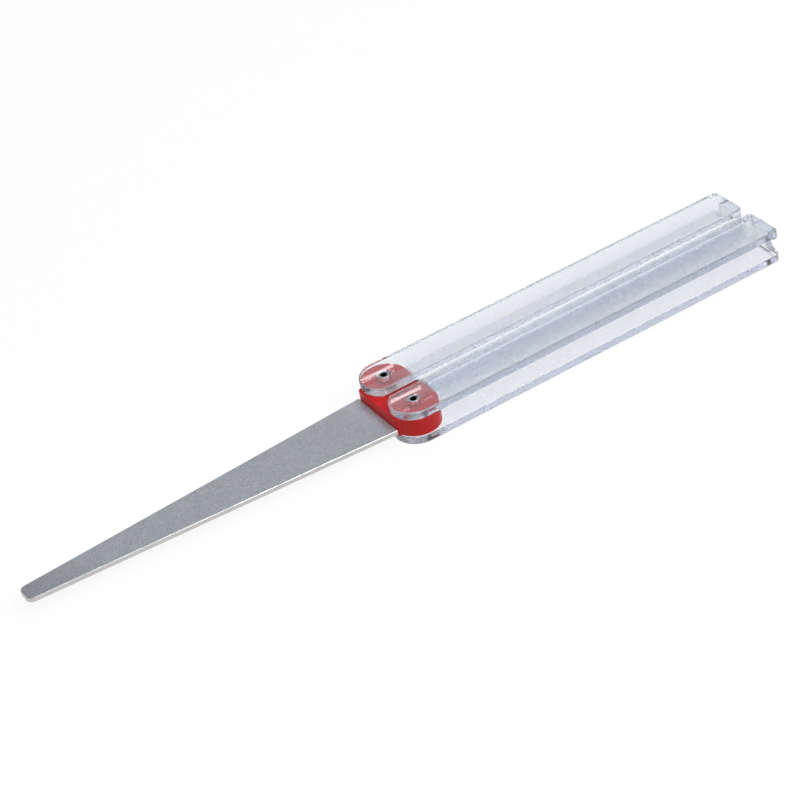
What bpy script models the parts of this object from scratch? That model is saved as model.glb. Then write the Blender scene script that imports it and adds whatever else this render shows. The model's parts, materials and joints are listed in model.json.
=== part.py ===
"""Folding diamond edge file.

A flat tapered file is moulded into a red hub. Two clear channel handles pivot on spring pins in
the hub's lobes and swing half a turn, from behind the file to shut over it.
X runs along the tool with the file towards -X, Y runs across it and Z is up.
"""
import math

import bmesh
import bpy
from mathutils import Matrix, Vector

MM = 0.001

# File: reaches are measured along X from the pivot axes
BLADE_REACH = 118.0 * MM
BLADE_BASE_WIDTH = 20.1 * MM
BLADE_TIP_WIDTH = 6.1 * MM
BLADE_THICKNESS = 1.5 * MM
BLADE_EDGE_CHAMFER = 0.2 * MM
BLADE_TIP_RADIUS = 1.9 * MM
TANG_CORNER_RADIUS = 1.2 * MM
TANG_HOLE_DIAMETER = 3.6 * MM
TANG_FIT = 0.3 * MM

# Pivots: slotted spring pins
PIN_DIAMETER = 3.5 * MM
PIN_WALL = 0.75 * MM
PIN_SLIT = 0.3 * MM
PIN_END_CHAMFER = 0.15 * MM
PIN_END_INSET = 0.1 * MM
PIN_FIT = 0.2 * MM

# Hub: the file lies below the middle of its thickness
HUB_SKIN_ABOVE = 2.6 * MM
HUB_SKIN_BELOW = 0.5 * MM
HUB_NOSE = 0.7 * MM
HUB_BACK_WALL = 1.5 * MM
HUB_BORE_WALL = 1.3 * MM
HUB_FRONT_RADIUS = 1.1 * MM
HUB_EDGE_RADIUS = 0.4 * MM
HUB_INSET = 0.1 * MM

# Handles: the pivot's inset is measured from the handle's inner side
HANDLE_WIDTH = 12.8 * MM
HANDLE_GAP = 3.4 * MM
PIVOT_INSET = 5.8 * MM
FLANGE_THICKNESS = 2.6 * MM
WEB_THICKNESS = 1.5 * MM
END_WALL = 2.0 * MM
TIP_CLEARANCE = 2.0 * MM
HUB_CLEARANCE = 0.15 * MM
WEB_CLEARANCE = 0.5 * MM
HANDLE_CORNER_RADIUS = 1.6 * MM
EAR_CORNER_RADIUS = 1.2 * MM
HANDLE_EDGE_RADIUS = 0.5 * MM
CHANNEL_ROOT_RADIUS = 0.7 * MM
CHANNEL_DRAFT = math.radians(1.5)
END_NOTCH_DEPTH = 4.0 * MM

# Facets
ROUND_STEPS = 48
SHARP_ANGLE = math.radians(40)
OVERCUT = 1.0 * MM
MERGE = 1e-7

# Sizes that follow from the ones above
HUB_THICKNESS = HUB_SKIN_ABOVE + BLADE_THICKNESS + 2 * TANG_FIT + HUB_SKIN_BELOW
CHANNEL_HEIGHT = HUB_THICKNESS + 2 * HUB_CLEARANCE
HANDLE_HEIGHT = CHANNEL_HEIGHT + 2 * FLANGE_THICKNESS
HANDLE_REACH = BLADE_REACH + TIP_CLEARANCE + END_WALL
EAR_RADIUS = HANDLE_WIDTH - PIVOT_INSET
PIVOT_Y = PIVOT_INSET + HANDLE_GAP / 2
PIVOT_X = (BLADE_REACH - HANDLE_REACH) / 2
MID_Z = HANDLE_HEIGHT / 2
BLADE_DROP = (HUB_SKIN_ABOVE - HUB_SKIN_BELOW) / 2
BORE_DIAMETER = PIN_DIAMETER + 2 * PIN_FIT
LOBE_RADIUS = EAR_RADIUS - HUB_INSET
HUB_FRONT = LOBE_RADIUS + HUB_NOSE
TANG_WIDTH = 2 * (PIVOT_Y - BORE_DIAMETER / 2 - HUB_BORE_WALL - TANG_FIT)
TANG_END = LOBE_RADIUS - HUB_BACK_WALL - TANG_FIT
BLADE_SHOULDER = -HUB_FRONT - TANG_FIT


def clear_scene():
    for item in list(bpy.data.objects):
        bpy.data.objects.remove(item, do_unlink=True)


def new_collection(name):
    collection = bpy.data.collections.new(name)
    bpy.context.scene.collection.children.link(collection)
    return collection


def new_material(name, colour, roughness, metallic, transmission=0.0):
    material = bpy.data.materials.new(name)
    material.use_nodes = True
    shader = material.node_tree.nodes["Principled BSDF"]
    shader.inputs["Base Color"].default_value = (*colour, 1.0)
    shader.inputs["Roughness"].default_value = roughness
    shader.inputs["Metallic"].default_value = metallic
    shader.inputs["Transmission Weight"].default_value = transmission
    return material


def arc(centre, radius, start, end):
    """Points on an arc from one angle to another, in steps of a full round's share."""
    steps = max(2, math.ceil(abs(end - start) / (2 * math.pi) * ROUND_STEPS))
    angles = [start + (end - start) * step / steps for step in range(steps + 1)]
    return [(centre[0] + radius * math.cos(a), centre[1] + radius * math.sin(a)) for a in angles]


def rounded(corners):
    """An outline through (x, y, radius) corners, each rounded by an arc or left sharp at radius 0."""
    points = []
    for index, (x, y, radius) in enumerate(corners):
        here = Vector((x, y))
        to_last = (Vector(corners[index - 1][:2]) - here).normalized()
        to_next = (Vector(corners[(index + 1) % len(corners)][:2]) - here).normalized()
        half = to_last.angle(to_next) / 2
        middle = here + (to_last + to_next).normalized() * radius / math.sin(half)
        start = here + to_last * radius / math.tan(half) - middle
        end = here + to_next * radius / math.tan(half) - middle
        first = math.atan2(start.y, start.x)
        sweep = math.remainder(math.atan2(end.y, end.x) - first, 2 * math.pi)
        points += arc(middle, radius, first, first + sweep)
    return points


def distinct(outline):
    """The outline without points that repeat the one before."""
    return [here for last, here in zip(outline[-1:] + outline, outline) if math.dist(last, here) > MERGE]


def plate(name, outlines, thickness, collection):
    """A flat plate centred on Z = 0 from an outer outline and the outlines of its holes."""
    curve = bpy.data.curves.new(name, "CURVE")
    curve.dimensions = "2D"
    curve.fill_mode = "BOTH"
    curve.extrude = thickness / 2
    for outline in outlines:
        corners = distinct(outline)
        spline = curve.splines.new("POLY")
        spline.points.add(len(corners) - 1)
        for point, (x, y) in zip(spline.points, corners):
            point.co = (x, y, 0.0, 1.0)
        spline.use_cyclic_u = True
    source = bpy.data.objects.new(name + "_outline", curve)
    collection.objects.link(source)
    evaluated = source.evaluated_get(bpy.context.evaluated_depsgraph_get())
    mesh = bpy.data.meshes.new_from_object(evaluated)
    bpy.data.objects.remove(source, do_unlink=True)
    bpy.data.curves.remove(curve)

    body = bmesh.new()
    body.from_mesh(mesh)
    bmesh.ops.remove_doubles(body, verts=body.verts, dist=MERGE)
    bmesh.ops.dissolve_limit(body, angle_limit=math.radians(0.1), verts=body.verts, edges=body.edges)
    bmesh.ops.recalc_face_normals(body, faces=body.faces)
    body.to_mesh(mesh)
    body.free()
    mesh.name = name
    item = bpy.data.objects.new(name, mesh)
    collection.objects.link(item)
    return item


def cylinder(name, diameter, length, collection):
    """A cylinder along Z, centred on its origin."""
    mesh = bpy.data.meshes.new(name)
    body = bmesh.new()
    bmesh.ops.create_cone(body, cap_ends=True, segments=ROUND_STEPS, radius1=diameter / 2,
                          radius2=diameter / 2, depth=length)
    body.to_mesh(mesh)
    body.free()
    item = bpy.data.objects.new(name, mesh)
    collection.objects.link(item)
    return item


def lay_along_x(item):
    """Turn a plate so that its outline lies in the YZ plane and its thickness runs along X."""
    item.data.transform(Matrix(((0, 0, 1, 0), (1, 0, 0, 0), (0, 1, 0, 0), (0, 0, 0, 1))))


def bevel(item, width, segments):
    modifier = item.modifiers.new("Edges", "BEVEL")
    modifier.width = width
    modifier.segments = segments
    modifier.limit_method = "ANGLE"
    modifier.angle_limit = SHARP_ANGLE


def cut(item, cutter):
    """Take the cutter, which moves with the item, out of the item."""
    cutter.hide_render = True
    cutter.display_type = "WIRE"
    cutter.parent = item
    modifier = item.modifiers.new(cutter.name, "BOOLEAN")
    modifier.operation = "DIFFERENCE"
    modifier.object = cutter


def finish(item, material, root, location):
    item.data.materials.append(material)
    item.data.shade_smooth()
    item.data.set_sharp_from_angle(angle=SHARP_ANGLE)
    item.parent = root
    item.location = location


def blade_outline():
    half_base = BLADE_BASE_WIDTH / 2
    half_tip = BLADE_TIP_WIDTH / 2
    half_tang = TANG_WIDTH / 2
    tip_radius = min(BLADE_TIP_RADIUS, 0.8 * half_tip)
    right = [
        (-BLADE_REACH, -half_tip, tip_radius),
        (BLADE_SHOULDER, -half_base, BLADE_EDGE_CHAMFER),
        (BLADE_SHOULDER, -half_tang, BLADE_EDGE_CHAMFER),
        (TANG_END, -half_tang, TANG_CORNER_RADIUS),
    ]
    left = [(x, -y, radius) for x, y, radius in reversed(right)]
    return rounded(right + left)


def tang_hole_centre():
    return (BLADE_SHOULDER + TANG_END) / 2, 0.0


def make_blade(parts, root, material):
    hole = arc(tang_hole_centre(), TANG_HOLE_DIAMETER / 2, 0.0, 2 * math.pi)[:-1]
    blade = plate("file_blade", [blade_outline(), hole], BLADE_THICKNESS, parts)
    bevel(blade, BLADE_EDGE_CHAMFER, 1)
    finish(blade, material, root, (PIVOT_X, 0.0, MID_Z - BLADE_DROP))


def hub_outline():
    """Two lobes round the pivots, a straight front as wide as the file and a straight back."""
    half_front = BLADE_BASE_WIDTH / 2
    aside = half_front - PIVOT_Y
    front_angle = math.pi - math.asin(aside / LOBE_RADIUS)
    left_lobe = arc((0.0, PIVOT_Y), LOBE_RADIUS, front_angle, 0.0)
    right_lobe = [(x, -y) for x, y in reversed(left_lobe)]
    turn = HUB_FRONT_RADIUS
    corner = (-HUB_FRONT + turn, half_front - turn)
    left_corner = arc(corner, turn, math.pi, math.pi / 2)
    right_corner = [(x, -y) for x, y in reversed(left_corner)]
    return left_corner + left_lobe + right_lobe + right_corner


def make_hub(parts, cutters, root, material):
    hub = plate("hub", [hub_outline()], HUB_THICKNESS, parts)
    bevel(hub, HUB_EDGE_RADIUS, 2)
    for side, label in ((1, "left"), (-1, "right")):
        bore = cylinder(f"hub_{label}_bore", BORE_DIAMETER, HUB_THICKNESS + 2 * OVERCUT, cutters)
        bore.location = (0.0, side * PIVOT_Y, 0.0)
        cut(hub, bore)
    # The moulding closes round the tang and runs through the tang's hole as a peg
    half_slot = TANG_WIDTH / 2 + TANG_FIT
    slot_end = TANG_END + TANG_FIT
    slot_corners = [
        (-HUB_FRONT - OVERCUT, -half_slot, 0),
        (slot_end, -half_slot, TANG_CORNER_RADIUS),
        (slot_end, half_slot, TANG_CORNER_RADIUS),
        (-HUB_FRONT - OVERCUT, half_slot, 0),
    ]
    peg = arc(tang_hole_centre(), TANG_HOLE_DIAMETER / 2 - TANG_FIT, 0.0, 2 * math.pi)[:-1]
    slot_height = BLADE_THICKNESS + 2 * TANG_FIT
    slot = plate("hub_tang_slot", [rounded(slot_corners), peg], slot_height, cutters)
    slot.location = (0.0, 0.0, -BLADE_DROP)
    cut(hub, slot)
    finish(hub, material, root, (PIVOT_X, 0.0, MID_Z))


def make_pin(name, side, parts, root, material):
    """A rolled steel tube with a slit that faces the handles."""
    outer = PIN_DIAMETER / 2
    inner = outer - PIN_WALL
    outer_slit = math.asin(PIN_SLIT / 2 / outer)
    inner_slit = math.asin(PIN_SLIT / 2 / inner)
    outside = arc((0.0, 0.0), outer, outer_slit, 2 * math.pi - outer_slit)
    inside = arc((0.0, 0.0), inner, 2 * math.pi - inner_slit, inner_slit)
    length = HANDLE_HEIGHT - 2 * PIN_END_INSET
    pin = plate(name, [outside + inside], length, parts)
    bevel(pin, PIN_END_CHAMFER, 1)
    finish(pin, material, root, (PIVOT_X, side * PIVOT_Y, MID_Z))


def core_profile(near, far, side):
    """A drafted core in the YZ plane: CHANNEL_HEIGHT tall at the pivot, taller towards far."""
    slope = math.tan(CHANNEL_DRAFT) * (1 if far > near else -1)
    half = CHANNEL_HEIGHT / 2
    corners = [(y, half + y * slope) for y in (near, far)]
    return [(side * y, -z) for y, z in corners] + [(side * y, z) for y, z in reversed(corners)]


def core(name, near, far, start, end, side, cutters):
    item = plate(name, [core_profile(near, far, side)], end - start, cutters)
    lay_along_x(item)
    item.data.transform(Matrix.Translation(((start + end) / 2, 0.0, 0.0)))
    return item


def handle_outline(side):
    """A round about the pivot that the straight inner side cuts off, and two corners at the far end."""
    corner = min(HANDLE_CORNER_RADIUS, 0.45 * HANDLE_WIDTH)
    turn = EAR_CORNER_RADIUS
    span, drop = EAR_RADIUS - turn, PIVOT_INSET - turn
    lean = math.asin(min(1.0, drop / span))
    ear = arc((0.0, 0.0), EAR_RADIUS, math.pi / 2, math.pi + lean)
    ear += arc((-span * math.cos(lean), -drop), turn, math.pi + lean, 1.5 * math.pi)
    far_end = rounded([
        (0.0, -PIVOT_INSET, 0.0),
        (HANDLE_REACH, -PIVOT_INSET, corner),
        (HANDLE_REACH, EAR_RADIUS, corner),
        (0.0, EAR_RADIUS, 0.0),
    ])
    return [(x, side * y) for x, y in ear + far_end]


def make_handle(name, side, parts, cutters, root, material):
    """A channel that opens outwards, with round ears at the pivot and a wall at its far end."""
    handle = plate(name, [handle_outline(side)], HANDLE_HEIGHT, parts)
    bevel(handle, HANDLE_EDGE_RADIUS, 3)

    # The channel's core pulls outwards, and a second core clears the hub from the inner side
    ear_front = -EAR_RADIUS - OVERCUT
    web_face = WEB_THICKNESS - PIVOT_INSET
    web_start = LOBE_RADIUS + WEB_CLEARANCE
    channel_end = HANDLE_REACH - END_WALL
    mouth = EAR_RADIUS + OVERCUT
    channel = core(name + "_channel", web_face, mouth, ear_front, channel_end, side, cutters)
    bevel(channel, CHANNEL_ROOT_RADIUS, 2)
    cut(handle, channel)
    inside = -PIVOT_INSET - OVERCUT
    ear_slot = core(name + "_ear_slot", OVERCUT, inside, ear_front, web_start, side, cutters)
    cut(handle, ear_slot)

    cut(handle, cylinder(name + "_bore", BORE_DIAMETER, HANDLE_HEIGHT + 2 * OVERCUT, cutters))

    # Half an obround hole in the end wall, which the other handle completes when both are shut
    notch_radius = min(CHANNEL_HEIGHT / 2, END_NOTCH_DEPTH)
    notch_middle = END_NOTCH_DEPTH - notch_radius
    obround = arc((notch_middle, 0.0), notch_radius, -math.pi / 2, math.pi / 2)
    obround += [(-y, -z) for y, z in obround]
    notch = plate(name + "_notch", [obround], END_WALL + 2 * OVERCUT, cutters)
    lay_along_x(notch)
    notch.location = (HANDLE_REACH - END_WALL / 2, side * EAR_RADIUS, 0.0)
    cut(handle, notch)
    finish(handle, material, root, (PIVOT_X, side * PIVOT_Y, MID_Z))


def main():
    clear_scene()
    parts = new_collection("folding_edge_file")
    cutters = new_collection("cutters")
    root = bpy.data.objects.new("folding_edge_file", None)
    parts.objects.link(root)

    diamond_steel = new_material("diamond_coated_steel", (0.36, 0.37, 0.37), 0.55, 0.9)
    red_plastic = new_material("red_plastic", (0.78, 0.03, 0.03), 0.3, 0.0)
    spring_steel = new_material("spring_steel", (0.6, 0.6, 0.6), 0.3, 1.0)
    clear_plastic = new_material("clear_plastic", (0.93, 0.96, 0.97), 0.05, 0.0, 1.0)

    make_blade(parts, root, diamond_steel)
    make_hub(parts, cutters, root, red_plastic)
    for side, label in ((1, "left"), (-1, "right")):
        make_pin(f"{label}_pivot_pin", side, parts, root, spring_steel)
        make_handle(f"{label}_handle", side, parts, cutters, root, clear_plastic)


main()
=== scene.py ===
import json
import math

import bmesh
import bpy
from mathutils import Matrix, Vector


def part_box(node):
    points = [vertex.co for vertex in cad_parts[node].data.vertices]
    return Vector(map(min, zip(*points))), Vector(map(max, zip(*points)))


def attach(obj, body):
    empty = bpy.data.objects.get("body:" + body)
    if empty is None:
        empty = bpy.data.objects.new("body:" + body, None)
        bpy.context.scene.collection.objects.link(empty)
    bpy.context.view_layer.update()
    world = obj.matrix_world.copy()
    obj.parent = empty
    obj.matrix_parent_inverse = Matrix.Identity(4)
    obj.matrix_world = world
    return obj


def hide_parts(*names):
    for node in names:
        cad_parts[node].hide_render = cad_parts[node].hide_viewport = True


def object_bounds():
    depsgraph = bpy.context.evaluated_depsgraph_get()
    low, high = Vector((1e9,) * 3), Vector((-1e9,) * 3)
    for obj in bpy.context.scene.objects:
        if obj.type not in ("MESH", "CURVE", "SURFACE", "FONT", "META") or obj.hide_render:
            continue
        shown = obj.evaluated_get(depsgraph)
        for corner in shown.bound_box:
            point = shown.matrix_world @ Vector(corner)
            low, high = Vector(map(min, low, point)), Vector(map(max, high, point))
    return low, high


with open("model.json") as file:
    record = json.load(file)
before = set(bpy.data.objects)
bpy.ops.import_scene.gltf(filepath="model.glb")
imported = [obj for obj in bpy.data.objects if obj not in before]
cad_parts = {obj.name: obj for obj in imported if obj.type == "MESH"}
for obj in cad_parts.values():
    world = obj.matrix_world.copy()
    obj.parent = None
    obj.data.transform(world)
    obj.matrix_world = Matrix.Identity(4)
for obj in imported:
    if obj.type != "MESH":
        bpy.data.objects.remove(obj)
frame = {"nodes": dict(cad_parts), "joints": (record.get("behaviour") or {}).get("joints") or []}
cadLow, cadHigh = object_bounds()
pivots = {joint["child"]: Vector(joint["pos_m"]) for joint in frame["joints"]}
pivotMiddle = sum(pivots.values(), Vector()) / len(pivots)
mm = 0.001
mergeDistance = 1e-7
white = (1.0, 1.0, 1.0)
print("frame loaded:", ", ".join(sorted(frame["nodes"])))

studio = {
    "floorSize": 12.0,
    "floorDrop": 0.05 * mm,         # keeps the floor off the handles' undersides
    "floorColour": (0.50, 0.50, 0.50),
    "floorSeen": white,
    "floorShadow": 0.10,            # share of the floor's own shading that is seen
    "skyForDiffuse": 0.45,
    "skyOverhead": (0.33, 0.36, 0.45),
    "skyTurn": (0.30, 0.52),        # heights, as sines, between which the sky dims in gloss
}
camera = {
    "azimuth": -27.261,
    "elevation": 35.955,
    "roll": -10.083,
    "distance": 742.8 * mm,
    "right": -0.255 * mm,
    "up": 0.223 * mm,
    "lift": 0.25 * mm,              # of the point looked at, above the pivots' middle
    "lens": 121.75,
    "sensor": 36.0,
    "clip": (0.01, 100.0),
}
lamps = {
    # name: direction azimuth and elevation seen from the tool, distance, width, height, power
    "keyLamp": (35, 50, 0.9, 0.50, 0.35, 3.0),
    "topLamp": (-60, 75, 1.0, 0.60, 0.60, 2.0),
    "backLamp": (110, 55, 1.0, 0.60, 0.40, 1.2),
    "stripLamp": (154.4, 33.0, 1.0, 0.05, 0.03, 0.031),
}


def direction(azimuth, elevation):
    a, e = math.radians(azimuth), math.radians(elevation)
    return Vector((math.sin(a) * math.cos(e), -math.cos(a) * math.cos(e), math.sin(e)))


def link(item):
    bpy.context.scene.collection.objects.link(item)
    return item


# Meshes

def arcPoints(centre, radius, start, end, steps):
    angles = [start + (end - start) / steps * i for i in range(steps + 1)]
    return [(centre[0] + radius * math.cos(angle), centre[1] + radius * math.sin(angle))
            for angle in angles]


def roundedOutline(corners, roundSteps):
    points = []
    for i, (x, y, radius) in enumerate(corners):
        here = Vector((x, y))
        toLast = (Vector(corners[i - 1][:2]) - here).normalized()
        toNext = (Vector(corners[(i + 1) % len(corners)][:2]) - here).normalized()
        half = toLast.angle(toNext) / 2
        middle = here + (toLast + toNext).normalized() * radius / math.sin(half)
        start = here + toLast * radius / math.tan(half) - middle
        end = here + toNext * radius / math.tan(half) - middle
        first = math.atan2(start.y, start.x)
        sweep = math.remainder(math.atan2(end.y, end.x) - first, 2 * math.pi)
        steps = max(2, math.ceil(abs(sweep) / (2 * math.pi) * roundSteps))
        points += arcPoints(middle, radius, first, first + sweep, steps)
    return points


def plate(name, outline, thickness, flatAngle=0.05):
    # a flat plate about Z = 0
    curve = bpy.data.curves.new(name, "CURVE")
    curve.dimensions = "2D"
    curve.fill_mode = "BOTH"
    curve.extrude = thickness / 2
    spread = [p for last, p in zip(outline[-1:] + outline, outline) if math.dist(last, p) > mergeDistance]
    spline = curve.splines.new("POLY")
    spline.points.add(len(spread) - 1)
    for point, (x, y) in zip(spline.points, spread):
        point.co = (x, y, 0.0, 1.0)
    spline.use_cyclic_u = True
    source = link(bpy.data.objects.new(name + "Outline", curve))
    mesh = bpy.data.meshes.new_from_object(source.evaluated_get(bpy.context.evaluated_depsgraph_get()))
    bpy.data.objects.remove(source, do_unlink=True)
    bpy.data.curves.remove(curve)
    body = bmesh.new()
    body.from_mesh(mesh)
    bmesh.ops.remove_doubles(body, verts=body.verts, dist=mergeDistance)
    bmesh.ops.dissolve_limit(body, angle_limit=math.radians(flatAngle), verts=body.verts, edges=body.edges)
    bmesh.ops.recalc_face_normals(body, faces=body.faces)
    body.to_mesh(mesh)
    body.free()
    mesh.name = name
    return link(bpy.data.objects.new(name, mesh))


def cylinder(name, diameter, length, steps):
    return plate(name, arcPoints((0, 0), diameter / 2, 0, 2 * math.pi, steps)[:-1], length)


def settle(item):
    # turns the modifiers into the object's own mesh
    bpy.context.view_layer.update()
    mesh = bpy.data.meshes.new_from_object(item.evaluated_get(bpy.context.evaluated_depsgraph_get()))
    item.modifiers.clear()
    old, item.data = item.data, mesh
    bpy.data.meshes.remove(old)
    mesh.name = item.name


def bevelled(item, width, segments, angle=40):
    modifier = item.modifiers.new("edgeRound", "BEVEL")
    modifier.width = width
    modifier.segments = segments
    modifier.limit_method = "ANGLE"
    modifier.angle_limit = math.radians(angle)
    settle(item)


def cutAway(item, *cutters):
    for cutter in cutters:
        modifier = item.modifiers.new(cutter.name, "BOOLEAN")
        modifier.operation = "DIFFERENCE"
        modifier.object = cutter
        settle(item)
        bpy.data.objects.remove(cutter, do_unlink=True)


def roundChosenEdges(item, width, segments, chosen, angle=40):
    # rounds the outward corners whose midpoints are chosen
    body = bmesh.new()
    body.from_mesh(item.data)
    bmesh.ops.remove_doubles(body, verts=body.verts, dist=mergeDistance)
    edges = [edge for edge in body.edges if len(edge.link_faces) == 2 and edge.is_convex
             and edge.calc_face_angle() > math.radians(angle)
             and chosen((edge.verts[0].co + edge.verts[1].co) / 2)]
    bmesh.ops.bevel(body, geom=edges, offset=width, offset_type="OFFSET", segments=segments, profile=0.5,
                    affect="EDGES", clamp_overlap=False)
    body.to_mesh(item.data)
    body.free()
    print(f"  {item.name}: {len(edges)} edges rounded")


def splitFaces(item, x, levelNormal=0.9):
    # an edge across the level faces, so that a finish can change there
    body = bmesh.new()
    body.from_mesh(item.data)
    faces = [face for face in body.faces if abs(face.normal.z) > levelNormal]
    around = {part for face in faces for part in (*face.edges, *face.verts)}
    bmesh.ops.bisect_plane(body, geom=faces + list(around), dist=mergeDistance,
                           plane_co=(x, 0, 0), plane_no=(1, 0, 0))
    body.to_mesh(item.data)
    body.free()


def smoothShade(item, angle=35):
    item.data.shade_smooth()
    item.data.set_sharp_from_angle(angle=math.radians(angle))
    modifier = item.modifiers.new("flatFaces", "WEIGHTED_NORMAL")
    modifier.keep_sharp = True
    settle(item)


def layAlongX(item):
    item.data.transform(Matrix(((0, 0, 1, 0), (1, 0, 0, 0), (0, 1, 0, 0), (0, 0, 0, 1))))


def place(item, x=0.0, y=0.0, z=0.0):
    item.data.transform(Matrix.Translation((x, y, z)))


def handOver(item, body, node, slot, *materials):
    item.data.materials.clear()
    for material in materials:
        item.data.materials.append(material)
    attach(item, body)
    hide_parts(node)
    print(f"{item.name}: {len(item.data.polygons)} faces")


# Finishes

def feed(tree, socket, value):
    if isinstance(value, bpy.types.NodeSocket):
        tree.links.new(value, socket)
    else:
        socket.default_value = value


def addNode(tree, kind, **inputs):
    node = tree.nodes.new(kind)
    for name, value in inputs.items():
        feed(tree, node.inputs[name], value)
    return node


def maths(tree, operation, *values, clamp=False):
    node = tree.nodes.new("ShaderNodeMath")
    node.operation = operation
    node.use_clamp = clamp
    for socket, value in zip(node.inputs, values):
        feed(tree, socket, value)
    return node.outputs[0]


def stretched(tree, where, x, y, z):
    # the place divided by a length along each axis
    lengths = addNode(tree, "ShaderNodeCombineXYZ", X=x, Y=y, Z=z)
    node = tree.nodes.new("ShaderNodeVectorMath")
    node.operation = "DIVIDE"
    feed(tree, node.inputs[0], where)
    feed(tree, node.inputs[1], lengths.outputs[0])
    return node.outputs[0]


def noise(tree, where, detail):
    node = addNode(tree, "ShaderNodeTexNoise", Vector=where, Scale=1.0, Detail=detail, Roughness=0.55)
    return node.outputs[0]


def objectPlace(tree):
    where = tree.nodes.new("ShaderNodeTexCoord").outputs["Object"]
    return addNode(tree, "ShaderNodeSeparateXYZ", Vector=where).outputs


def attribute(tree, name):
    node = tree.nodes.new("ShaderNodeAttribute")
    node.attribute_name = name
    return node.outputs["Fac"]


def mixColours(tree, share, first, second):
    node = tree.nodes.new("ShaderNodeMix")
    node.data_type = "RGBA"
    feed(tree, node.inputs["Factor"], share)
    feed(tree, node.inputs["A"], (*first, 1.0))
    feed(tree, node.inputs["B"], (*second, 1.0))
    return node.outputs["Result"]


def ramp(tree, value, low, high, start=0.0, end=1.0):
    node = addNode(tree, "ShaderNodeMapRange", **{"Value": value, "From Min": low, "From Max": high,
                                                  "To Min": start, "To Max": end})
    node.interpolation_type = "SMOOTHSTEP"
    return node.outputs[0]


def tinted(tree, colour, shade):
    node = tree.nodes.new("ShaderNodeVectorMath")
    node.operation = "SCALE"
    feed(tree, node.inputs[0], colour)
    feed(tree, node.inputs["Scale"], shade)
    return node.outputs[0]


def newGroup(name, given, made):
    group = bpy.data.node_groups.new(name, "ShaderNodeTree")
    for label, value in given.items():
        socket = group.interface.new_socket(label, in_out="INPUT", socket_type="NodeSocketFloat")
        socket.default_value = value
    for label in made:
        group.interface.new_socket(label, in_out="OUTPUT", socket_type="NodeSocketFloat")
    return group, group.nodes.new("NodeGroupInput").outputs, group.nodes.new("NodeGroupOutput").inputs


markShape = {
    "smudgeEdge": (0.42, 0.68),     # noise levels between which a smudge fades in
    "scratchLength": 60.0,          # times its width
    "scratchRidge": 0.05,           # half height of the noise band that is a scratch
    "scratchBreak": (0.2, 0.8),
}


def makeHandlingMarks():
    # finger smudges, and hair scratches that run along the tool
    group, given, made = newGroup("handlingMarks", {
        "Roughness": 0.2, "Smudge": 0.1, "Smudge Size": 6 * mm, "Scratch": 0.1, "Scratch Width": 0.15 * mm},
        ("Roughness", "Height"))
    where = group.nodes.new("ShaderNodeTexCoord").outputs["Object"]
    size, width = given["Smudge Size"], given["Scratch Width"]
    cloud = noise(group, stretched(group, where, size, size, size), detail=3.0)
    smudge = ramp(group, cloud, *markShape["smudgeEdge"])
    length = maths(group, "MULTIPLY", width, markShape["scratchLength"])
    hair = noise(group, stretched(group, where, length, width, width), detail=1.0)
    ridge = maths(group, "ABSOLUTE", maths(group, "SUBTRACT", hair, 0.5))
    line = ramp(group, ridge, 0.0, markShape["scratchRidge"], 1.0, 0.0)
    scratch = maths(group, "MULTIPLY", line, ramp(group, hair, *markShape["scratchBreak"]))
    smudged = maths(group, "MULTIPLY_ADD", given["Smudge"], smudge, given["Roughness"])
    rough = maths(group, "MULTIPLY_ADD", given["Scratch"], scratch, smudged, clamp=True)
    depth = maths(group, "MULTIPLY", scratch, maths(group, "MULTIPLY", given["Scratch"], -1.0))
    group.links.new(rough, made["Roughness"])
    group.links.new(depth, made["Height"])
    return group


def makeSpeckle():
    # grains of their own brightness, over a softer mottle
    group, given, made = newGroup("speckle", {
        "Grain": 0.1, "Grain Size": 0.2 * mm, "Mottle": 0.05, "Mottle Size": 3 * mm}, ("Shade", "Height"))
    where = group.nodes.new("ShaderNodeTexCoord").outputs["Object"]
    size, wide = given["Grain Size"], given["Mottle Size"]
    cells = addNode(group, "ShaderNodeTexVoronoi", Scale=1.0,
                    Vector=stretched(group, where, size, size, size))
    own = addNode(group, "ShaderNodeSeparateColor", Color=cells.outputs["Color"]).outputs[0]
    grain = maths(group, "MULTIPLY", maths(group, "MULTIPLY_ADD", own, 2.0, -1.0), given["Grain"])
    cloud = noise(group, stretched(group, where, wide, wide, wide), detail=4.0)
    mottle = maths(group, "MULTIPLY", maths(group, "MULTIPLY_ADD", cloud, 2.0, -1.0), given["Mottle"])
    group.links.new(maths(group, "ADD", maths(group, "ADD", grain, mottle), 1.0), made["Shade"])
    group.links.new(maths(group, "SUBTRACT", 1.0, cells.outputs["Distance"]), made["Height"])
    return group


handlingMarks = makeHandlingMarks()
speckle = makeSpeckle()


def useGroup(tree, group, settings):
    node = tree.nodes.new("ShaderNodeGroup")
    node.node_tree = group
    for name, value in settings.items():
        feed(tree, node.inputs[name], value)
    return node.outputs


def newMaterial(name, **inputs):
    material = bpy.data.materials.new(name)
    material.use_nodes = True
    shader = material.node_tree.nodes["Principled BSDF"]
    for socket, value in inputs.items():
        shader.inputs[socket].default_value = value
    return material, material.node_tree, shader


def finishSurface(tree, shader, finish):
    # colour from the speckle, roughness from the marks and both in the bump
    grains = useGroup(tree, speckle, finish["speckle"])
    marks = useGroup(tree, handlingMarks, finish["marks"])
    feed(tree, shader.inputs["Base Color"], tinted(tree, finish["colour"], grains["Shade"]))
    feed(tree, shader.inputs["Roughness"], marks["Roughness"])
    height = maths(tree, "MULTIPLY_ADD", grains["Height"], finish["grainHeight"], marks["Height"])
    bump = addNode(tree, "ShaderNodeBump", Strength=finish["bump"], Distance=finish["bumpDepth"],
                   Height=height)
    feed(tree, shader.inputs["Normal"], bump.outputs[0])
    return grains


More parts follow.
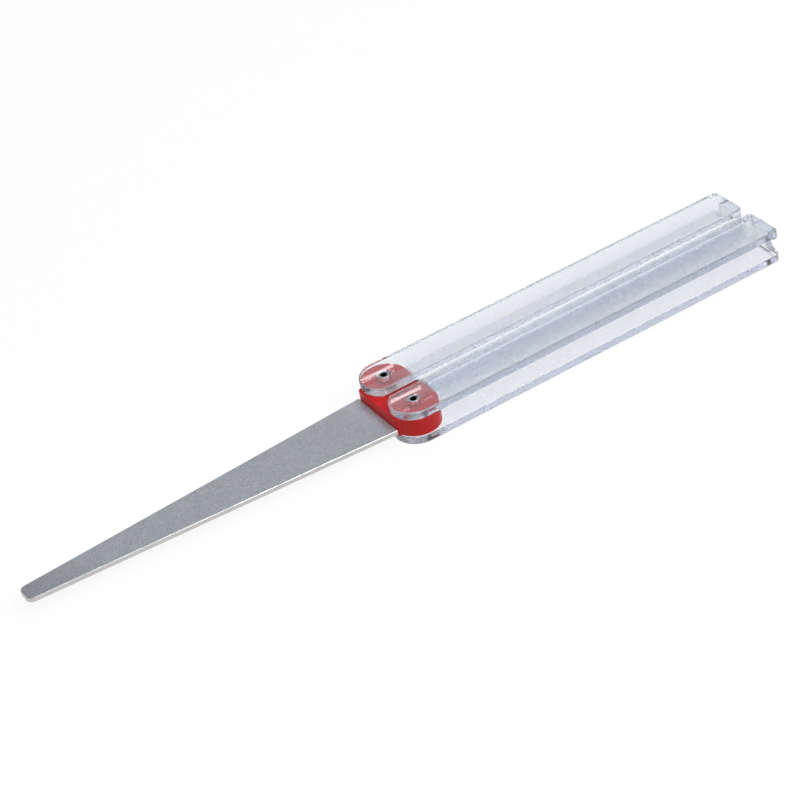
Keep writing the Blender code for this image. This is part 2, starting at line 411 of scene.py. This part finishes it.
clearFinish = {
    "ior": 1.5,
    "colour": (0.933, 0.953, 0.975),
    "milkiness": 0.03,              # share of the light that the moulding scatters
    "depthColour": (0.45, 0.55, 0.76),
    "depthDensity": 38.0,           # per metre, absorbed inside the plastic
    "coredRoughness": 0.22,         # added where the mould's cores left a satin face
    "crownRadius": 82 * mm,         # the ears are shaded as slightly crowned across the tool
    "crownFade": (4 * mm, 6 * mm),  # from the pivots, where the crown ends
    "speckle": {"Grain": 0.0, "Grain Size": 0.4 * mm, "Mottle": 0.012, "Mottle Size": 14 * mm},
    "marks": {"Roughness": 0.04, "Smudge": 0.03, "Smudge Size": 9 * mm, "Scratch": 0.01,
              "Scratch Width": 0.12 * mm},
    "grainHeight": 0.0,
    "bump": 0.001,
    "bumpDepth": 0.02 * mm,
}
redFinish = {
    "ior": 1.5,
    "specular": 0.25,
    "colour": (0.60, 0.010, 0.010),
    "slotShadeHalf": 2.2 * mm,          # half width of the painted shade in the slot between the ears
    "slotShadeBlur": 0.4 * mm,
    "slotShadeStart": -4.5 * mm,        # from the pivots
    "slotShadeRise": 3 * mm,
    "slotShadeLevel": 0.5,
    "speckle": {"Grain": 0.04, "Grain Size": 0.12 * mm, "Mottle": 0.06, "Mottle Size": 5 * mm},
    "marks": {"Roughness": 0.28, "Smudge": 0.12, "Smudge Size": 4 * mm, "Scratch": 0.15,
              "Scratch Width": 0.10 * mm},
    "grainHeight": 0.25,
    "bump": 0.12,
    "bumpDepth": 0.03 * mm,
}
gritFinish = {
    "metallic": 0.8,
    "colour": (0.463, 0.475, 0.490),
    # painted shade: a darker broken band along the coated faces' edges
    "rimColour": (0.30, 0.31, 0.325),
    "rimShare": 0.55,
    "rimBreak": (0.15, 1.1),        # levels of the band times the grain where the rim shows
    "rootPaintedLight": 1.20,              # painted light: the grit is lighter beside the hub, against the hub's shade
    "rootLength": 9 * mm,
    "tipShade": 0.8,                # painted shade: the grit is darker towards the tip
    "tipLength": 26 * mm,
    "speckle": {"Grain": 0.22, "Grain Size": 0.20 * mm, "Mottle": 0.10, "Mottle Size": 1.6 * mm},
    "marks": {"Roughness": 0.52, "Smudge": 0.10, "Smudge Size": 5 * mm, "Scratch": 0.06,
              "Scratch Width": 0.12 * mm},
    "grainHeight": 1.0,
    "bump": 0.35,
    "bumpDepth": 0.05 * mm,
}
edgeFinish = {
    "colour": (0.56, 0.55, 0.535),
    "speckle": {"Grain": 0.05, "Grain Size": 0.10 * mm, "Mottle": 0.10, "Mottle Size": 2.5 * mm},
    "marks": {"Roughness": 0.34, "Smudge": 0.10, "Smudge Size": 4 * mm, "Scratch": 0.15,
              "Scratch Width": 0.05 * mm},
    "grainHeight": 0.1,
    "bump": 0.15,
    "bumpDepth": 0.02 * mm,
}
pinFinish = {
    "colour": (0.56, 0.56, 0.57),
    "speckle": {"Grain": 0.06, "Grain Size": 0.08 * mm, "Mottle": 0.12, "Mottle Size": 0.9 * mm},
    "marks": {"Roughness": 0.27, "Smudge": 0.10, "Smudge Size": 1.5 * mm, "Scratch": 0.15,
              "Scratch Width": 0.05 * mm},
    "grainHeight": 0.2,
    "bump": 0.15,
    "bumpDepth": 0.01 * mm,
}
# painted shade: near-black steel on the pins' insides, for the shade in their holes
boreShadeFinish = {
    **pinFinish,
    "colour": (0.02, 0.02, 0.022),
    "marks": {"Roughness": 0.6, "Smudge": 0.1, "Smudge Size": 1.5 * mm, "Scratch": 0.1,
              "Scratch Width": 0.05 * mm},
}


def makeClearPlastic():
    finish = clearFinish
    material, tree, shader = newMaterial("clearPlastic", **{
        "IOR": finish["ior"], "Transmission Weight": 1.0 - finish["milkiness"]})
    finishSurface(tree, shader, finish)
    polish = shader.inputs["Roughness"].links[0].from_socket
    satin = maths(tree, "MULTIPLY_ADD", attribute(tree, "cored"), finish["coredRoughness"], polish)
    feed(tree, shader.inputs["Roughness"], satin)
    where = objectPlace(tree)
    fromPivot = maths(tree, "SUBTRACT", maths(tree, "ABSOLUTE", where["Y"]), pivots["left_handle"].y)
    squared = maths(tree, "MULTIPLY", fromPivot, fromPivot)
    dome = maths(tree, "MULTIPLY", squared, -0.5 / finish["crownRadius"])
    start, end = finish["crownFade"]
    atEar = ramp(tree, where["X"], pivotMiddle.x + start, pivotMiddle.x + end, 1.0, 0.0)
    crown = addNode(tree, "ShaderNodeBump", Strength=1.0, Distance=1.0,
                    Height=maths(tree, "MULTIPLY", dome, atEar),
                    Normal=shader.inputs["Normal"].links[0].from_socket)
    feed(tree, shader.inputs["Normal"], crown.outputs[0])
    depth = addNode(tree, "ShaderNodeVolumeAbsorption", Color=(*finish["depthColour"], 1.0),
                    Density=finish["depthDensity"])
    feed(tree, tree.nodes["Material Output"].inputs["Volume"], depth.outputs[0])
    return material


def makeRedPlastic():
    finish = redFinish
    material, tree, shader = newMaterial("redPlastic", **{
        "IOR": finish["ior"], "Specular IOR Level": finish["specular"]})
    grains = finishSurface(tree, shader, finish)
    where = objectPlace(tree)
    half, blur = finish["slotShadeHalf"], finish["slotShadeBlur"]
    across = ramp(tree, maths(tree, "ABSOLUTE", where["Y"]), half - blur, half + blur, 1.0, 0.0)
    start = pivotMiddle.x + finish["slotShadeStart"]
    inSlot = maths(tree, "MULTIPLY", across, ramp(tree, where["X"], start, start + finish["slotShadeRise"]))
    # painted shade: the hub's top is darker in the slot between the ears
    slotShading = maths(tree, "MULTIPLY_ADD", inSlot, finish["slotShadeLevel"] - 1.0, 1.0)
    shade = maths(tree, "MULTIPLY", grains["Shade"], slotShading)
    feed(tree, shader.inputs["Base Color"], tinted(tree, finish["colour"], shade))
    return material


def makeDiamondGrit():
    finish = gritFinish
    material, tree, shader = newMaterial("diamondGrit", **{"Metallic": finish["metallic"]})
    grains = finishSurface(tree, shader, finish)
    # painted shade: the coated faces darken in a broken band along their edges
    rim = maths(tree, "MULTIPLY", attribute(tree, "rimBand"), grains["Shade"])
    broken = maths(tree, "MULTIPLY", ramp(tree, rim, *finish["rimBreak"]), finish["rimShare"])
    colour = mixColours(tree, broken, finish["colour"], finish["rimColour"])
    along = objectPlace(tree)["X"]
    root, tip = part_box("hub")[0].x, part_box("file_blade")[0].x
    # painted light: lighter beside the hub
    rootLightening = ramp(tree, along, root - finish["rootLength"], root, 1.0, finish["rootPaintedLight"])
    # painted shade: darker towards the tip
    tipDarkening = ramp(tree, along, tip, tip + finish["tipLength"], finish["tipShade"], 1.0)
    shade = maths(tree, "MULTIPLY", grains["Shade"], maths(tree, "MULTIPLY", rootLightening, tipDarkening))
    feed(tree, shader.inputs["Base Color"], tinted(tree, colour, shade))
    return material


def makeSteel(name, finish):
    material, tree, shader = newMaterial(name, **{"Metallic": 1.0})
    finishSurface(tree, shader, finish)
    return material


# Pieces

handleSizes = {
    "pivotInset": 5.8 * mm,         # from the pivot to the inner side
    "flange": 2.6 * mm,
    "web": 1.5 * mm,
    "endWall": 2.0 * mm,
    "hubInset": 0.1 * mm,
    "webClearance": 0.5 * mm,
    "cornerRound": 1.6 * mm,
    "earCorner": 1.2 * mm,
    "edgeRound": 0.5 * mm,
    "edgeSteps": 5,
    "edgeSatin": 2.2,               # times the cored faces' satin, on the rounded edges
    "earSideSatin": 2.0,            # and on the ears' straight inner sides and beneath them
    "earRoundSatin": 0.9,           # and on their round sides
    "coredDepth": 1.5 * mm,         # below the outer faces, where the cored faces start
    "levelNormal": 0.98,            # a face that points up or down more than this is level
    "edgeMargin": 0.01 * mm,        # how near a point is to the flat side that it lies on
    "arcMargin": 0.1 * mm,          # the same for a point on a round
    "faceMargin": 0.05 * mm,        # how near a face's middle is to the side that it is part of
    "roundMargin": 0.3 * mm,        # the same for a round side or one with rounded mouths
    "mouthRound": 0.25 * mm,
    "mouthSteps": 4,
    "mouthMargin": 0.3 * mm,        # keeps the mouths' rounding off the rounded edges
    "rootRound": 0.7 * mm,
    "rootSteps": 6,
    "draft": 1.5,                   # degrees
    "notchDepth": 4.0 * mm,
    "notchSteps": 32,
    "bore": 3.9 * mm,
    "boreSteps": 64,
    "cornerSteps": 12,
    "roundSteps": 240,
    "overcut": 1.0 * mm,
}


def handleCore(name, near, far, start, end, side, channelHalf):
    # a drafted core, channelHalf tall at the pivot and taller towards far
    slope = math.tan(math.radians(handleSizes["draft"])) * (1 if far > near else -1)
    corners = [(y, channelHalf + y * slope) for y in (near, far)]
    profile = [(side * y, -z) for y, z in corners] + [(side * y, z) for y, z in reversed(corners)]
    core = plate(name, profile, end - start)
    layAlongX(core)
    place(core, x=(start + end) / 2)
    return core


def makeHandle(node, side, plastic):
    size = handleSizes
    low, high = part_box(node)
    pivot = pivots[node]
    inset = size["pivotInset"]
    ear = high.y - low.y - inset
    height = high.z - low.z
    reach = high.x - pivot.x
    channelHalf = height / 2 - size["flange"]
    # the ear is a round about the pivot that the straight inner side cuts off
    turn = size["earCorner"]
    drop = inset - turn
    lean = math.asin(drop / (ear - turn))
    cornerX = -(ear - turn) * math.cos(lean)
    plan = arcPoints((0, 0), ear, math.pi / 2, math.pi + lean, size["roundSteps"] // 2)
    plan += arcPoints((cornerX, -drop), turn, math.pi + lean, 1.5 * math.pi, size["cornerSteps"])
    plan += roundedOutline([(0, -inset, 0), (reach, -inset, size["cornerRound"]),
                            (reach, ear, size["cornerRound"]), (0, ear, 0)], size["roundSteps"])
    handle = plate(node + "_clear", [(x, side * y) for x, y in plan], height)
    bevelled(handle, size["edgeRound"], size["edgeSteps"])

    past = size["overcut"]
    webStart = ear - size["hubInset"] + size["webClearance"]
    channelEnd = reach - size["endWall"]
    front = -ear - past
    channel = handleCore("channel", size["web"] - inset, ear + past, front, channelEnd, side, channelHalf)
    bevelled(channel, size["rootRound"], size["rootSteps"])
    earSlot = handleCore("earSlot", past, -inset - past, front, webStart, side, channelHalf)
    cutAway(handle, channel, earSlot)

    def onSlotMouth(p):
        y = side * p.y
        onSide = y > ear - size["edgeMargin"] or y < size["edgeMargin"] - inset
        onRound = p.x < 0 and math.hypot(p.x, y) > ear - size["arcMargin"]
        fromCorner = math.hypot(p.x - cornerX, y + drop)
        onCorner = p.x < cornerX and y < -drop and fromCorner > turn - size["arcMargin"]
        betweenEdges = abs(p.z) < height / 2 - size["edgeRound"] - size["mouthMargin"]
        return (onSide or onRound or onCorner) and betweenEdges
    roundChosenEdges(handle, size["mouthRound"], size["mouthSteps"], onSlotMouth)

    notchRound = channelHalf
    middle = size["notchDepth"] - notchRound
    obround = arcPoints((middle, 0), notchRound, -math.pi / 2, math.pi / 2, size["notchSteps"])
    obround += [(-y, -z) for y, z in obround]
    notch = plate("notch", obround, size["endWall"] + 2 * past)
    layAlongX(notch)
    place(notch, reach - size["endWall"] / 2, side * ear)
    cutAway(handle, notch, cylinder("bore", size["bore"], height + 2 * past, size["boreSteps"]))
    splitFaces(handle, webStart)
    smoothShade(handle)
    cored = handle.data.attributes.new("cored", "FLOAT", "FACE")
    margin, roundMargin = size["faceMargin"], size["roundMargin"]
    for face, satin in zip(handle.data.polygons, cored.data):
        x, y, z = face.center.x, side * face.center.y, face.center.z
        upright = abs(face.normal.z) < size["levelNormal"]
        innerSide = y < margin - inset
        roundSide = x < 0 and math.hypot(x, y) > ear - roundMargin
        outside = innerSide or roundSide or y > ear - roundMargin or x > reach - margin
        bored = math.hypot(x, y) < size["bore"] / 2 + margin
        polished = y > 0 and x < webStart
        if upright and abs(z) > height / 2 - size["edgeRound"] - size["edgeMargin"]:
            satin.value = size["edgeSatin"]
        elif innerSide and x < webStart:
            satin.value = size["earSideSatin"]
        elif roundSide and upright:
            satin.value = size["earRoundSatin"]
        elif abs(z) < height / 2 - size["coredDepth"] and not (outside or bored or polished):
            satin.value = size["earSideSatin"] if x < webStart else 1.0
    place(handle, *pivot)
    handOver(handle, node, node, "clear_plastic", plastic)


hubSizes = {
    "nose": 0.7 * mm,
    "frontRound": 1.1 * mm,
    "frontSteps": 12,
    "edgeRound": 0.4 * mm,
    "edgeSteps": 4,
    "bore": 3.9 * mm,
    "boreSteps": 64,
    "roundSteps": 160,
}


def makeHub(plastic):
    size = hubSizes
    low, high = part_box("hub")
    pivotY = pivots["left_handle"].y
    lobe = high.y - pivotY
    front = lobe + size["nose"]
    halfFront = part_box("file_blade")[1].y
    frontAngle = math.pi - math.asin((halfFront - pivotY) / lobe)
    leftLobe = arcPoints((0, pivotY), lobe, frontAngle, 0.0, size["roundSteps"])
    turn = size["frontRound"]
    leftCorner = arcPoints((turn - front, halfFront - turn), turn, math.pi, math.pi / 2, size["frontSteps"])
    mirrored = [[(x, -y) for x, y in reversed(points)] for points in (leftLobe, leftCorner)]
    hub = plate("hub_red", leftCorner + leftLobe + mirrored[0] + mirrored[1], high.z - low.z)
    bevelled(hub, size["edgeRound"], size["edgeSteps"])
    for y in (pivotY, -pivotY):
        bore = cylinder("bore", size["bore"], 2 * (high.z - low.z), size["boreSteps"])
        place(bore, y=y)
        cutAway(hub, bore)
    smoothShade(hub)
    place(hub, pivotMiddle.x, 0, (low.z + high.z) / 2)
    handOver(hub, "file_and_hub", "hub", "red_plastic", plastic)


bladeSizes = {
    "tipWidth": 6.1 * mm,
    "tipRound": 1.9 * mm,
    "edgeChamfer": 0.15 * mm,
    "hubGap": 0.02 * mm,
    "rimBand": 0.5 * mm,
    "levelNormal": 0.99,            # a face that points up or down more than this is coated
    "smoothAngle": 25,
    "roundSteps": 96,
}


def bandRim(item, width, levelNormal):
    # an attribute that fades from 1 at the faces' edges to 0 at a band's width inside them
    def spot(vert, digits=7):
        return tuple(round(c, digits) for c in vert.co)
    body = bmesh.new()
    body.from_mesh(item.data)
    faces = [face for face in body.faces if abs(face.normal.z) > levelNormal]
    edge = {spot(vert) for face in faces for vert in face.verts}
    bmesh.ops.inset_region(body, faces=faces, thickness=width, use_even_offset=True)
    band = body.verts.layers.float.new("rimBand")
    for vert in body.verts:
        vert[band] = 1.0 if spot(vert) in edge else 0.0
    body.to_mesh(item.data)
    body.free()


def makeBlade(grit, steel):
    size = bladeSizes
    low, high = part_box("file_blade")
    halfTip = size["tipWidth"] / 2
    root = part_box("hub")[0].x - size["hubGap"]
    right = [(low.x, -halfTip, size["tipRound"]), (root, low.y, 0.0)]
    left = [(x, -y, radius) for x, y, radius in reversed(right)]
    blade = plate("file_blade_coated", roundedOutline(right + left, size["roundSteps"]), high.z - low.z)
    bevelled(blade, size["edgeChamfer"], segments=1)
    bandRim(blade, size["rimBand"], size["levelNormal"])
    smoothShade(blade, size["smoothAngle"])
    place(blade, z=(low.z + high.z) / 2)
    handOver(blade, "file_and_hub", "file_blade", "diamond_steel", grit, steel)
    for face in blade.data.polygons:
        face.material_index = 0 if abs(face.normal.z) > size["levelNormal"] else 1


pinSizes = {
    "Wall": 0.75 * mm,
    "Slit": 0.3 * mm,
    "Rim Round": 0.2 * mm,
    "Rim Steps": 4,
    "Round Steps": 72,
}
pinBoreMargin = 0.05 * mm


def makePinTree():
    # a rolled strip: its rounded section follows an arc that stops short of a full turn
    tree = bpy.data.node_groups.new("rolledPin", "GeometryNodeTree")
    for label, kind in (("Diameter", "Float"), ("Length", "Float"), ("Wall", "Float"), ("Slit", "Float"),
                        ("Rim Round", "Float"), ("Rim Steps", "Int"), ("Round Steps", "Int"),
                        ("Steel", "Material")):
        tree.interface.new_socket(label, in_out="INPUT", socket_type="NodeSocket" + kind)
    tree.interface.new_socket("Geometry", in_out="OUTPUT", socket_type="NodeSocketGeometry")
    given = tree.nodes.new("NodeGroupInput").outputs
    made = tree.nodes.new("NodeGroupOutput").inputs
    radius = maths(tree, "MULTIPLY", maths(tree, "SUBTRACT", given["Diameter"], given["Wall"]), 0.5)
    opening = maths(tree, "DIVIDE", given["Slit"], radius)
    path = addNode(tree, "GeometryNodeCurveArc", **{
        "Resolution": given["Round Steps"], "Radius": radius,
        "Start Angle": maths(tree, "MULTIPLY", opening, 0.5),
        "Sweep Angle": maths(tree, "SUBTRACT", 2 * math.pi, opening)})
    strip = addNode(tree, "GeometryNodeCurvePrimitiveQuadrilateral",
                    Width=given["Wall"], Height=given["Length"])
    section = tree.nodes.new("GeometryNodeFilletCurve")
    section.mode = "POLY"
    feed(tree, section.inputs["Curve"], strip.outputs[0])
    feed(tree, section.inputs["Count"], given["Rim Steps"])
    feed(tree, section.inputs["Radius"], given["Rim Round"])
    rolled = addNode(tree, "GeometryNodeCurveToMesh", **{
        "Curve": path.outputs[0], "Profile Curve": section.outputs[0], "Fill Caps": True})
    solid = addNode(tree, "GeometryNodeRealizeInstances", Geometry=rolled.outputs[0])
    steeled = addNode(tree, "GeometryNodeSetMaterial", Geometry=solid.outputs[0], Material=given["Steel"])
    tree.links.new(steeled.outputs[0], made[0])
    return tree


def makePin(node, tree, steel, bore):
    low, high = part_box(node)
    settings = {**pinSizes, "Diameter": high.y - low.y, "Length": high.z - low.z, "Steel": steel}
    pin = link(bpy.data.objects.new(node + "_steel", bpy.data.meshes.new(node)))
    modifier = pin.modifiers.new("rolledPin", "NODES")
    modifier.node_group = tree
    for socket in tree.interface.items_tree:
        if socket.in_out == "INPUT":
            modifier[socket.identifier] = settings[socket.name]
    settle(pin)
    body = bmesh.new()
    body.from_mesh(pin.data)
    bmesh.ops.remove_doubles(body, verts=body.verts, dist=mergeDistance)
    bmesh.ops.recalc_face_normals(body, faces=body.faces)
    body.to_mesh(pin.data)
    body.free()
    smoothShade(pin)
    inner = settings["Diameter"] / 2 - settings["Wall"]
    inside = [face.index for face in pin.data.polygons
              if math.hypot(face.center.x, face.center.y) < inner + pinBoreMargin]
    place(pin, *((low + high) / 2))
    handOver(pin, "file_and_hub", node, "spring_steel", steel, bore)
    # painted shade: the pin's inside faces take the near-black steel
    for index in inside:
        pin.data.polygons[index].material_index = 1


clearPlastic = makeClearPlastic()
makeHandle("left_handle", 1, clearPlastic)
makeHandle("right_handle", -1, clearPlastic)
makeHub(makeRedPlastic())
makeBlade(makeDiamondGrit(), makeSteel("groundEdge", edgeFinish))
pinTree = makePinTree()
pinSteel, boreShade = makeSteel("pinSteel", pinFinish), makeSteel("boreShade", boreShadeFinish)
for pinNode in ("left_pivot_pin", "right_pivot_pin"):
    makePin(pinNode, pinTree, pinSteel, boreShade)


# Studio

def seenRays(tree):
    # 1 for rays that show the background: to the camera, in gloss and through clear plastic
    path = tree.nodes.new("ShaderNodeLightPath").outputs
    seen = maths(tree, "MAXIMUM", path["Is Camera Ray"], path["Is Glossy Ray"])
    return maths(tree, "MAXIMUM", seen, path["Is Transmission Ray"])


def mixShaders(tree, share, first, second):
    node = tree.nodes.new("ShaderNodeMixShader")
    feed(tree, node.inputs[0], share)
    feed(tree, node.inputs[1], first.outputs[0])
    feed(tree, node.inputs[2], second.outputs[0])
    return node


def makeFloor():
    mesh = bpy.data.meshes.new("floor")
    body = bmesh.new()
    bmesh.ops.create_grid(body, x_segments=1, y_segments=1, size=studio["floorSize"] / 2)
    body.to_mesh(mesh)
    body.free()
    floor = link(bpy.data.objects.new("floor", mesh))
    floor.location.z = cadLow.z - studio["floorDrop"]
    material = bpy.data.materials.new("paleFloor")
    material.use_nodes = True
    tree = material.node_tree
    tree.nodes.clear()
    paper = addNode(tree, "ShaderNodeBsdfDiffuse", Color=(*studio["floorColour"], 1.0))
    seenPaper = addNode(tree, "ShaderNodeBsdfDiffuse", Color=(*studio["floorSeen"], 1.0))
    bright = addNode(tree, "ShaderNodeEmission", Color=(*white, 1.0), Strength=1.0)
    shadowed = mixShaders(tree, studio["floorShadow"], bright, seenPaper)
    above = mixShaders(tree, seenRays(tree), paper, shadowed)
    below = addNode(tree, "ShaderNodeBsdfTransparent")
    under = tree.nodes.new("ShaderNodeNewGeometry").outputs["Backfacing"]
    output = tree.nodes.new("ShaderNodeOutputMaterial")
    feed(tree, output.inputs[0], mixShaders(tree, under, above, below).outputs[0])
    mesh.materials.append(material)


def makeSky():
    world = bpy.data.worlds.new("studioSky")
    bpy.context.scene.world = world
    world.use_nodes = True
    tree = world.node_tree
    tree.nodes.clear()
    height = addNode(tree, "ShaderNodeSeparateXYZ",
                     Vector=tree.nodes.new("ShaderNodeTexCoord").outputs["Generated"]).outputs["Z"]
    path = tree.nodes.new("ShaderNodeLightPath").outputs
    mirrored = maths(tree, "SUBTRACT", path["Is Glossy Ray"], path["Is Transmission Ray"], clamp=True)
    dimmed = maths(tree, "MULTIPLY", ramp(tree, height, *studio["skyTurn"]), mirrored)
    colour = mixColours(tree, dimmed, white, studio["skyOverhead"])
    seen = addNode(tree, "ShaderNodeBackground", Color=colour, Strength=1.0)
    fill = addNode(tree, "ShaderNodeBackground", Color=(*white, 1.0), Strength=studio["skyForDiffuse"])
    output = tree.nodes.new("ShaderNodeOutputWorld")
    feed(tree, output.inputs[0], mixShaders(tree, seenRays(tree), fill, seen).outputs[0])


def makeLamps():
    for name, (azimuth, elevation, distance, width, height, power) in lamps.items():
        data = bpy.data.lights.new(name, "AREA")
        data.shape = "RECTANGLE"
        data.size = width
        data.size_y = height
        data.energy = power
        lamp = link(bpy.data.objects.new(name, data))
        back = direction(azimuth, elevation)
        lamp.location = pivotMiddle + back * distance
        lamp.rotation_euler = back.to_track_quat("Z", "Y").to_euler()


def makeCamera():
    azimuth, roll = math.radians(camera["azimuth"]), math.radians(camera["roll"])
    back = direction(camera["azimuth"], camera["elevation"])
    level = Vector((math.cos(azimuth), math.sin(azimuth), 0.0))
    plumb = back.cross(level)
    right = level * math.cos(roll) + plumb * math.sin(roll)
    up = plumb * math.cos(roll) - level * math.sin(roll)
    data = bpy.data.cameras.new("photoCamera")
    data.lens = camera["lens"]
    data.sensor_width = camera["sensor"]
    data.clip_start, data.clip_end = camera["clip"]
    item = link(bpy.data.objects.new("photoCamera", data))
    turn = Matrix((right, up, back)).transposed().to_4x4()
    target = pivotMiddle + Vector((0.0, 0.0, camera["lift"]))
    spot = target + back * camera["distance"] + right * camera["right"] + up * camera["up"]
    item.matrix_world = Matrix.Translation(spot) @ turn
    bpy.context.scene.camera = item


makeFloor()
makeSky()
makeLamps()
makeCamera()
bpy.context.scene.view_settings.view_transform = "Standard"
print("studio ready")
